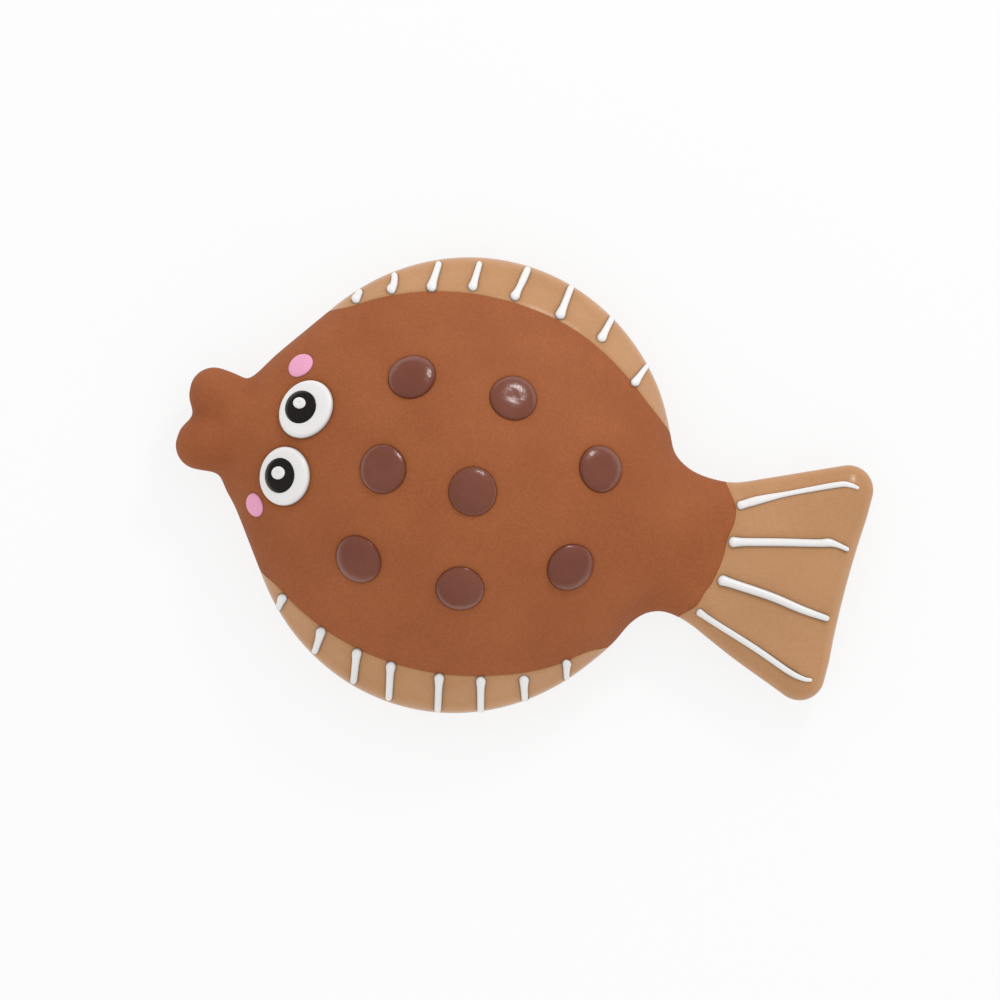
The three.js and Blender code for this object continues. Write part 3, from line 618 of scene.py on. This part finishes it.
def coated(name, pale, dark, roughness, grain, unevenness, speckled, shine):
    """Latex or paint: two near tones in blotches, a fine speckle, painted shade and less shine in nooks, a
    grain and a soft unevenness. grain and unevenness are each a scale per metre and a height in metres."""
    n = Nodes(name)
    blotch = n.ramp(n.noise(BLOTCH_SCALE, 3.0), BLOTCH_STOPS, (dark, pale))
    speckle = n.ramp(n.noise(grain[0], 2.0), SPECKLE_STOPS, (SPECKLE_TONE, WHITEST))
    colour = n.multiply(speckled, blotch, speckle)
    occlusion = n.add("ShaderNodeAmbientOcclusion", Distance=OCCLUSION_REACH).outputs["AO"]
    # Painted shade: the colour darkens where ambient occlusion finds the surface hemmed in, round raised
    # paint, in creases and near the floor
    colour = n.multiply(PAINTED_SHADE, colour, n.ramp(occlusion, PAINTED_SHADE_STOPS, (BLACKEST, WHITEST)))
    uneven = n.bump(n.noise(unevenness[0], 2.0), unevenness[1])
    normal = n.bump(n.noise(grain[0], 3.0), grain[1], below=uneven)
    rough = n.span(n.noise(GLOSS_SCALE, 3.0), roughness - GLOSS_SPREAD, roughness + GLOSS_SPREAD)
    sheen = n.span(occlusion, 0.0, shine, *DULL_STOPS)
    return n.finish(Base_Color=colour, Roughness=rough, Normal=normal, Specular_IOR_Level=sheen)


BROWN = coated("brown_latex", srgb(170, 98, 56), srgb(161, 90, 50), 0.68,
               (1500, 0.00005), (120, 0.0001), 0.6, 0.25)
TAN = coated("tan_latex", srgb(200, 149, 105), srgb(192, 142, 98), 0.28,
             (1500, 0.00002), (160, 0.0002), 0.35, 0.4)
PLUM = coated("plum_latex", srgb(130, 73, 55), srgb(120, 64, 47), 0.27,
              (1100, 0.00004), (420, 0.00016), 0.3, 0.7)
WHITE = coated("white_paint", srgb(245, 243, 241), srgb(240, 238, 236), 0.3,
               (1500, 0.00001), (300, 0.00003), 0.08, 0.5)
BLACK = coated("black_paint", srgb(30, 22, 18), srgb(24, 17, 14), 0.18,
               (1500, 0.00001), (300, 0.00006), 0.2, 0.6)
PINK = coated("pink_paint", srgb(246, 174, 208), srgb(240, 165, 197), 0.5,
              (1500, 0.00002), (300, 0.00006), 0.15, 0.4)
PLASTIC = coated("squeaker_plastic", srgb(232, 230, 224), srgb(226, 223, 216), 0.4,
                 (2400, 0.00001), (90, 0.00004), 0.1, 0.5)


SCRATCH_SCALES = (4000, 4000, 60)  # along each axis
TARNISH_SCALE = 400.0
TARNISH_STOPS = (0.35, 0.7)


def brass(name):
    """Rolled strip: fine scratches along its length and a slight tarnish."""
    n = Nodes(name)
    stretched = n.add("ShaderNodeMapping", Vector=n.place, Scale=SCRATCH_SCALES).outputs["Vector"]
    lines = n.add("ShaderNodeTexNoise", Vector=stretched, Scale=1.0, Detail=2.0).outputs["Fac"]
    tarnish = n.ramp(n.noise(TARNISH_SCALE, 3.0), TARNISH_STOPS, (srgb(150, 118, 58), srgb(184, 150, 82)))
    normal = n.bump(lines, 0.00001)
    return n.finish(Base_Color=tarnish, Metallic=1.0, Roughness=n.span(lines, 0.25, 0.4), Normal=normal)


BRASS = brass("reed_brass")


# Skin


def bent_rows(rows, across, edge, towards_tail):
    """Grid of plan points on rows across the fish, bent so that the end row lies on the tail's border."""
    x = np.repeat(rows[:, None], len(across), 1)
    middle = tail_border(0.0)
    y = edge(x, across) * across
    for _ in range(3):
        share = (rows - STALK_X + TAIL_EASE) / (middle - STALK_X + TAIL_EASE)
        if not towards_tail:
            share = (TAIL_CORNER_X - rows) / (TAIL_CORNER_X - middle)
        x = rows[:, None] + np.clip(share, 0, 1)[:, None] ** 2 * (tail_border(y) - middle)
        y = edge(x, across) * across
    return x, y


def skin_points(x, y, face, rim):
    """Points of the upper or lower face, with the rim's own points on the mould line."""
    z = np.where(rim, RIM_HEIGHT, face(x, y))
    return shaped(np.stack([x, y, z], -1))


def even_across(count):
    return np.sin(np.linspace(-1, 1, count) * math.pi / 2)


def on_rim(x, y):
    return np.abs(y) > half_width(x) - RIM_SLACK


back_rows = np.concatenate([LIP_ROWS, stations(LIP_CORNER_X, tail_border(0.0), SKIN_STEP)[1:]])
back_x, back_y = bent_rows(back_rows, even_across(BACK_COLUMNS), fin_edge, True)
back_rim = on_rim(back_x, back_y) | (back_x < LIP_FRONT_X + RIM_SLACK)
back_top = skin_points(back_x, back_y, upper, back_rim)
film_edge = ~back_rim
film_edge[:, 1:-1] = False
film_edge[-1] = ~back_rim[-1]
back_top[..., 2] -= np.where(film_edge, FILM_STEP, 0)
lip_count = int(np.searchsorted(back_rows, NECK_X))
LIP_REAR_X = back_rows[lip_count - 1]
lip_under = skin_points(back_x[:lip_count], back_y[:lip_count], lower, back_rim[:lip_count])
back = make("back_cast", *thickened(*welded([(back_top, False), (lip_under, True)])), BROWN,
            "brown_latex", ["back_skin", "crown_skin"])
follow(back)


def fin(side, name, node):
    """Tan crescent from under the edge of the brown back out to the rim."""
    front, rear = FIN_TIPS[side]
    x = stations(front - FILM_OVERLAP, rear + FILM_OVERLAP, SKIN_STEP)
    inner, outer = fin_edge(x, side), half_width(x)
    share = np.sin(np.linspace(0, math.pi / 2, FIN_COLUMNS))
    y = inner[:, None] + (outer - inner)[:, None] * share
    y = side * np.hstack([inner[:, None] - FILM_OVERLAP, y])
    grid_x = np.repeat(x[:, None], y.shape[1], 1)
    rim = on_rim(grid_x, y)
    points = skin_points(grid_x, y, upper, rim)
    points[:, :2, 2] -= np.where(rim[:, :2], 0, TAN_SINK)
    piece = make(name, *thickened(*welded([(points, side < 0)])), TAN, "tan_latex", [node])
    follow(piece)


fin(1, "dorsal_fin_cast", "dorsal_fin")
fin(-1, "anal_fin_cast", "anal_fin")

tail_rows = stations(tail_border(0.0) - FILM_OVERLAP, TAIL_CORNER_X, TAIL_STEP)
tail_rows = np.concatenate([tail_rows, END_ROWS[1:]])
tail_x, tail_y = bent_rows(tail_rows, even_across(TAIL_COLUMNS), rim_edge, False)
tail_rim = on_rim(tail_x, tail_y) | (tail_x > TAIL_END_X - RIM_SLACK)
tail_top = skin_points(tail_x, tail_y, upper, tail_rim)
tail_top[:2, :, 2] -= np.where(tail_rim[:2], 0, TAN_SINK)
tail_under = skin_points(tail_x, tail_y, lower, tail_rim)
tail_under[:2, :, 2] += np.where(tail_rim[:2], 0, UNDER_TUCK)
tail_top[:2, :, 1] *= TAIL_TUCK
tail_under[:2, :, 1] *= TAIL_TUCK
tail = make("tail_cast", *thickened(*welded([(tail_top, False), (tail_under, True)])), TAN,
            "tan_latex", ["tail_fin"])
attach(tail, "base")


def evenly(line):
    """Points at even steps along a line of points, with its ends kept."""
    length = np.concatenate([[0], np.cumsum(np.hypot(*np.diff(line, axis=0).T))])
    place = stations(0, length[-1], SKIN_STEP)
    return np.stack([np.interp(place, length, line[:, column]) for column in range(2)], 1)


def belly_side(side):
    """Rim of the belly on one side, from the neck to the tail's border."""
    rear_x = STALK_X
    for _ in range(8):
        rear_x = float(tail_border(side * half_width(rear_x)))
    x = stations(LIP_REAR_X, rear_x, RIM_STEP)
    return np.stack([x, side * half_width(x)], 1)


def belly_edge():
    """Closed edge of the belly: rim, tail border, rim and neck."""
    left, right = belly_side(-1), belly_side(1)
    rear_y = np.linspace(left[-1, 1], right[-1, 1], REAR_POINTS)
    rear = np.stack([tail_border(rear_y), rear_y], 1)
    front = np.stack([right[0], left[0]])
    sides = [evenly(line)[:-1] for line in (left, rear, right[::-1], front)]
    return np.vstack(sides + [left[:1]])


def belly_points():
    """Rings from the socket's inner end round its counterbore and out to the edge."""
    edge = belly_edge()
    angles = np.arctan2(edge[:, 1], edge[:, 0] - BODY_X)
    reach = np.hypot(edge[:, 0] - BODY_X, edge[:, 1])
    start = SOCKET_PROFILE[-1][0]
    shares = np.sin(np.linspace(0, math.pi / 2, BELLY_RINGS))[1:]
    rings = []
    for radius, height in SOCKET_PROFILE:
        ring = np.stack([BODY_X + radius * np.cos(angles), radius * np.sin(angles)], 1)
        rings.append(np.column_stack([ring, np.full(len(angles), height)]))
    for share in shares:
        radius = start + (reach - start) * share
        x, y = BODY_X + radius * np.cos(angles), radius * np.sin(angles)
        rings.append(np.stack([x, y, lower(x, y)], 1))
    at_rim = edge_depth(x, y) < RIM_TOLERANCE
    rings[-1][:, 2] = np.where(at_rim, RIM_HEIGHT, rings[-1][:, 2])
    return shaped(np.stack(rings))


belly = make("belly_cast", *thickened(*welded([(belly_points(), True)])), TAN, "tan_latex", ["belly_skin"])
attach(belly, "base")


# Relief laid on the skin

rng = np.random.default_rng(11)


def lathe_profile(height, bevel, dish=0.0, base=0.0, slump=0.5):
    """Shares of the radius and lifts of a flat button, round to its underside.
    Its edge is a quarter round at a slump of 0.5, and slopes off more like a lens above that."""
    flat = np.linspace(0, 1 - bevel, BUTTON_TOP_RINGS)
    inner = [(s, height - dish * (1 - smooth(s / (1 - bevel)))) for s in flat]
    turn = np.sin(np.linspace(0, math.pi / 2, BUTTON_EDGE_RINGS)[1:])
    edge = [(1 - bevel + bevel * t, height * (1 - t * t) ** slump) for t in turn]
    foot = [(1.0, -FOOT_DEPTH), (0.0, -FOOT_DEPTH)]
    return [(s, base + lift) for s, lift in inner + edge + foot]


def button(name, x, y, reach, profile, material, slot, node):
    """Round piece on the skin. reach(angle) gives its edge as offsets along and across the fish."""
    angles = np.linspace(0, 2 * math.pi, BUTTON_SIDES + 1)
    offset_x, offset_y = reach(angles)
    shares = np.array([share for share, _ in profile])[:, None]
    lifts = np.array([lift for _, lift in profile])[:, None] * np.ones_like(angles)
    points = on_upper(x + shares * offset_x, y + shares * offset_y, lifts)
    piece = make(name, *welded([(points, False)]), material, slot, [node], sharp=70)
    follow(piece)


SECOND_RIPPLE = 0.6  # of an uneven edge, over its first ripple


def oval_reach(half_length, half_breadth, degrees, wobble=0.0):
    """Edge of a turned oval with a slight random unevenness."""
    cosine, sine = math.cos(math.radians(degrees)), math.sin(math.radians(degrees))
    phases = rng.uniform(0, 2 * math.pi, 2)

    def reach(angle):
        waves = np.cos(2 * angle + phases[0]) + SECOND_RIPPLE * np.cos(3 * angle + phases[1])
        ripple = 1 + wobble * waves
        along = half_length * np.cos(angle) * ripple
        across = half_breadth * np.sin(angle) * ripple
        return along * cosine - across * sine, along * sine + across * cosine

    return reach


def spot_reach(x, y):
    """Edge of a round spot that lies square on the sloping skin."""
    normal = upper_normal(np.array([x]), np.array([y]))[0]
    slope = math.hypot(normal[0], normal[1])
    uphill = math.degrees(math.atan2(normal[1], normal[0])) if slope > 0 else 0.0
    radius = SPOT_RADIUS * rng.uniform(1 - SPOT_SPREAD, 1 + SPOT_SPREAD)
    return oval_reach(radius * normal[2], radius, uphill, SPOT_WOBBLE)


for index, (x, y) in enumerate(SPOTS, 1):
    button(f"spot_{index}_button", x, y, spot_reach(x, y),
           lathe_profile(SPOT_HEIGHT, SPOT_BEVEL, SPOT_DISH, slump=SPOT_SLUMP),
           PLUM, "plum_latex", f"spot_{index}")

pupil_base = EYE_HEIGHT - EYE_DISH
glint_base = pupil_base + PUPIL_HEIGHT
for index, (eye, pupil, glint, cheek) in enumerate(zip(EYE_WHITES, PUPILS, GLINTS, CHEEKS), 1):
    button(f"eye_{index}_white", *eye[:2], oval_reach(*eye[2:], EYE_WOBBLE),
           lathe_profile(EYE_HEIGHT, EYE_BEVEL, EYE_DISH), WHITE, "white_paint", f"eye_white_{index}")
    button(f"eye_{index}_pupil", *pupil[:2], oval_reach(*pupil[2:]),
           lathe_profile(PUPIL_HEIGHT, PUPIL_BEVEL, base=pupil_base), BLACK, "black_paint", f"pupil_{index}")
    button(f"eye_{index}_glint", *glint[:2], oval_reach(*glint[2:]),
           lathe_profile(GLINT_HEIGHT, GLINT_BEVEL, GLINT_DISH, glint_base),
           WHITE, "white_paint", f"glint_{index}")
    button(f"cheek_{index}_dab", *cheek[:2], oval_reach(*cheek[2:], CHEEK_WOBBLE),
           lathe_profile(CHEEK_HEIGHT, CHEEK_BEVEL), PINK, "pink_paint", f"cheek_{index}")


def bead(name, line, node):
    """Bead of raised paint with round ends, through stations of place and half-width."""
    path = spline(line, CURVE_POINTS)
    length = np.concatenate([[0], np.cumsum(np.hypot(*np.diff(path[:, :2], axis=0).T))])
    place = length[-1] * (1 - np.cos(np.linspace(0, math.pi, BEAD_ROWS))) / 2
    x, y, half = (np.interp(place, length, path[:, column]) for column in range(3))
    bulb = 1 + BEAD_BULB * np.exp(-(place / half[0] - 1) ** 2)
    half = half * bulb * quarter_round(place / half[0]) * quarter_round((length[-1] - place) / half[-1])
    heading = np.stack([np.gradient(x, place), np.gradient(y, place)], 1)
    heading /= np.linalg.norm(heading, axis=1, keepdims=True)
    turn = np.linspace(-math.pi / 2, math.pi / 2, BEAD_COLUMNS)
    sideways = np.concatenate([np.sin(turn), [BEAD_FOOT, -BEAD_FOOT, -1.0]])
    lift = np.concatenate([BEAD_ASPECT * np.cos(turn), [-FOOT_DEPTH, -FOOT_DEPTH, 0.0]])
    grid_x = x[:, None] - heading[:, 1:] * half[:, None] * sideways
    grid_y = y[:, None] + heading[:, :1] * half[:, None] * sideways
    reach = half_width(grid_x) - BEAD_RIM_MARGIN
    grid_y = np.clip(grid_y + lean(grid_x), -reach, reach) - lean(grid_x)
    points = on_upper(grid_x, grid_y, half[:, None] * lift)
    piece = make(name, *welded([(points, False)]), WHITE, "white_paint", [node], sharp=80)
    follow(piece)


for group, rays in (("dorsal", DORSAL_RAYS), ("anal", ANAL_RAYS), ("tail", TAIL_RAYS)):
    for index, line in enumerate(rays, 1):
        bead(f"{group}_ray_{index}_bead", line, f"{group}_ray_{index}")


# Squeaker


def turned(name, profile, material, slot, node):
    """Moulding turned about the squeaker's axis from a closed section."""
    section = np.array(profile + profile[:1])
    angles = np.linspace(0, 2 * math.pi, TURNED_SIDES + 1)
    radius, height = section[:, :1], np.repeat(section[:, 1:], len(angles), 1)
    points = np.stack([BODY_X + radius * np.cos(angles), radius * np.sin(angles), height], -1)
    return make(name, *welded([(points, True)]), material, slot, [node], sharp=40)


plug = turned("squeaker_moulding", PLUG_PROFILE, PLASTIC, "squeaker_plastic", "squeaker_plug")
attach(plug, "base")
for node in ("squeaker_lid", "reed_seat", "reed_wedge"):
    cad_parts[node].data.materials.clear()
    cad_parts[node].data.materials.append(PLASTIC)
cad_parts["reed"].data.materials.clear()
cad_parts["reed"].data.materials.append(BRASS)


# Floor, light and camera

FLOOR_HALF = 4.0
FLOOR_DROP = 0.0002
FLOOR_TONE = (0.9, 0.9, 0.9, 1)
FLOOR_SHADE = 0.18  # share of the floor's own shading that the camera sees


def seen_directly(tree):
    """1 for camera, glossy and transmission rays."""
    path = tree.nodes.new("ShaderNodeLightPath")
    total = path.outputs["Is Camera Ray"]
    for ray in ("Is Glossy Ray", "Is Transmission Ray"):
        node = tree.nodes.new("ShaderNodeMath")
        node.operation = "MAXIMUM"
        tree.links.new(total, node.inputs[0])
        tree.links.new(path.outputs[ray], node.inputs[1])
        total = node.outputs[0]
    return total


def floor_material():
    """White to the eye with some of its shading, and a plain pale floor to the light."""
    material = bpy.data.materials.new("pale_floor")
    material.use_nodes = True
    tree = material.node_tree
    tree.nodes.remove(tree.nodes["Principled BSDF"])
    diffuse = tree.nodes.new("ShaderNodeBsdfDiffuse")
    diffuse.inputs["Color"].default_value = FLOOR_TONE
    glow = tree.nodes.new("ShaderNodeEmission")
    share = tree.nodes.new("ShaderNodeMath")
    share.operation = "MULTIPLY"
    share.inputs[1].default_value = 1 - FLOOR_SHADE
    tree.links.new(seen_directly(tree), share.inputs[0])
    mix = tree.nodes.new("ShaderNodeMixShader")
    tree.links.new(share.outputs[0], mix.inputs[0])
    tree.links.new(diffuse.outputs[0], mix.inputs[1])
    tree.links.new(glow.outputs[0], mix.inputs[2])
    tree.links.new(mix.outputs[0], tree.nodes["Material Output"].inputs["Surface"])
    return material


floor_mesh = bpy.data.meshes.new("floor")
corners = [(x * FLOOR_HALF, y * FLOOR_HALF, -FLOOR_DROP) for x, y in ((-1, -1), (1, -1), (1, 1), (-1, 1))]
floor_mesh.from_pydata(corners, [], [(0, 1, 2, 3)])
floor_mesh.materials.append(floor_material())
floor = bpy.data.objects.new("floor", floor_mesh)
bpy.context.scene.collection.objects.link(floor)

AMBIENT = 0.87
BACKDROP_TOP = 0.1  # height on the sky, as a share of the way up, where the white backdrop ends
CEILING = 0.22  # brightness that reflections show above the white backdrop


def studio():
    """World of even light. What is seen directly is a white backdrop that darkens upwards."""
    world = bpy.data.worlds.new("studio")
    world.use_nodes = True
    tree = world.node_tree
    sky = tree.nodes["Background"]
    sky.inputs["Color"].default_value = WHITEST
    direction = tree.nodes.new("ShaderNodeSeparateXYZ")
    tree.links.new(tree.nodes.new("ShaderNodeTexCoord").outputs["Generated"], direction.inputs["Vector"])
    backdrop = tree.nodes.new("ShaderNodeMapRange")
    backdrop.inputs["From Max"].default_value = BACKDROP_TOP
    backdrop.inputs["To Min"].default_value = 1.0
    backdrop.inputs["To Max"].default_value = CEILING
    tree.links.new(direction.outputs["Z"], backdrop.inputs["Value"])
    level = tree.nodes.new("ShaderNodeMapRange")
    level.inputs["To Min"].default_value = AMBIENT
    tree.links.new(seen_directly(tree), level.inputs["Value"])
    tree.links.new(backdrop.outputs["Result"], level.inputs["To Max"])
    tree.links.new(level.outputs["Result"], sky.inputs["Strength"])
    return world


bpy.context.scene.world = studio()

KEY_PLACE = Vector((0.16, 0.74, 0.5))
KEY_AIM = Vector((0, 0, 0.02))
KEY_SIZE = (0.17, 0.1)
KEY_POWER = 1.9
key_light = bpy.data.lights.new("key", "AREA")
key_light.shape = "RECTANGLE"
key_light.size, key_light.size_y = KEY_SIZE
key_light.energy = KEY_POWER
key = bpy.data.objects.new("key", key_light)
key.location = KEY_PLACE
key.rotation_euler = (KEY_AIM - KEY_PLACE).to_track_quat("-Z", "Y").to_euler()
key.visible_camera = False
bpy.context.scene.collection.objects.link(key)

# The photograph looks straight down, with the fish turned in the frame
CAMERA_PLACE = (-0.00394, -0.00116, 3.0)
CAMERA_TURN = math.radians(14.7)
PICTURE_WIDTH = 0.25307  # at the height of the brim
BRIM_HEIGHT = 0.012
SENSOR_WIDTH = 36.0
camera_data = bpy.data.cameras.new("camera")
camera_data.sensor_width = SENSOR_WIDTH
camera_data.lens = SENSOR_WIDTH * (CAMERA_PLACE[2] - BRIM_HEIGHT) / PICTURE_WIDTH
camera = bpy.data.objects.new("camera", camera_data)
camera.location = CAMERA_PLACE
camera.rotation_euler = (0, 0, CAMERA_TURN)
bpy.context.scene.collection.objects.link(camera)
bpy.context.scene.camera = camera
bpy.context.scene.view_settings.view_transform = "Standard"
